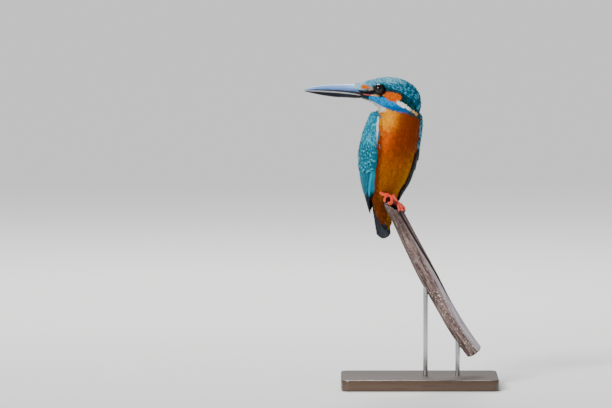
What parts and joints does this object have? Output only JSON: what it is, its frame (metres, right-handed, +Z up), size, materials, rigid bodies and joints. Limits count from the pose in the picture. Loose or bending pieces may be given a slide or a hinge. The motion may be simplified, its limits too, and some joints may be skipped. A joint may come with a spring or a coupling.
{
  "type": "kingfisher model on perch",
  "caption": "Life-size still model of a common kingfisher with its head turned to the side, perched on the cut end of a slanting cane that a flat stand holds up.",
  "frame": {"origin": "middle of the underside of the stand's base", "axes": "+Z up, -X the way the bill points, -Y the way the left side of the face looks"},
  "size_m": [0.1388, 0.078, 0.2223],
  "materials": {
    "teal_feathers": "satin",
    "rufous_feathers": "satin",
    "slate_feathers": "satin",
    "horn": "satin",
    "eye": "gloss",
    "coral_skin": "satin",
    "dried_cane": "matte",
    "walnut": "satin",
    "steel": "satin"
  },
  "bodies": {
    "root": {"head": "teal_feathers", "eye_left": "eye", "eye_right": "eye", "bill_upper": "horn", "bill_lower": "horn", "neck": "rufous_feathers", "trunk": "rufous_feathers", "tail": "slate_feathers", "wing_left": "teal_feathers", "secondaries_left": "teal_feathers", "primaries_left": "slate_feathers", "leg_left": "coral_skin", "foot_left": "coral_skin", "claw_left_1": "horn", "claw_left_2": "horn", "claw_left_3": "horn", "claw_left_4": "horn", "wing_right": "teal_feathers", "secondaries_right": "teal_feathers", "primaries_right": "slate_feathers", "leg_right": "coral_skin", "foot_right": "coral_skin", "claw_right_1": "horn", "claw_right_2": "horn", "claw_right_3": "horn", "claw_right_4": "horn", "perch": "dried_cane", "stand_base": "walnut", "stand_rod_1": "steel", "stand_rod_2": "steel"}
  },
  "joints": []
}
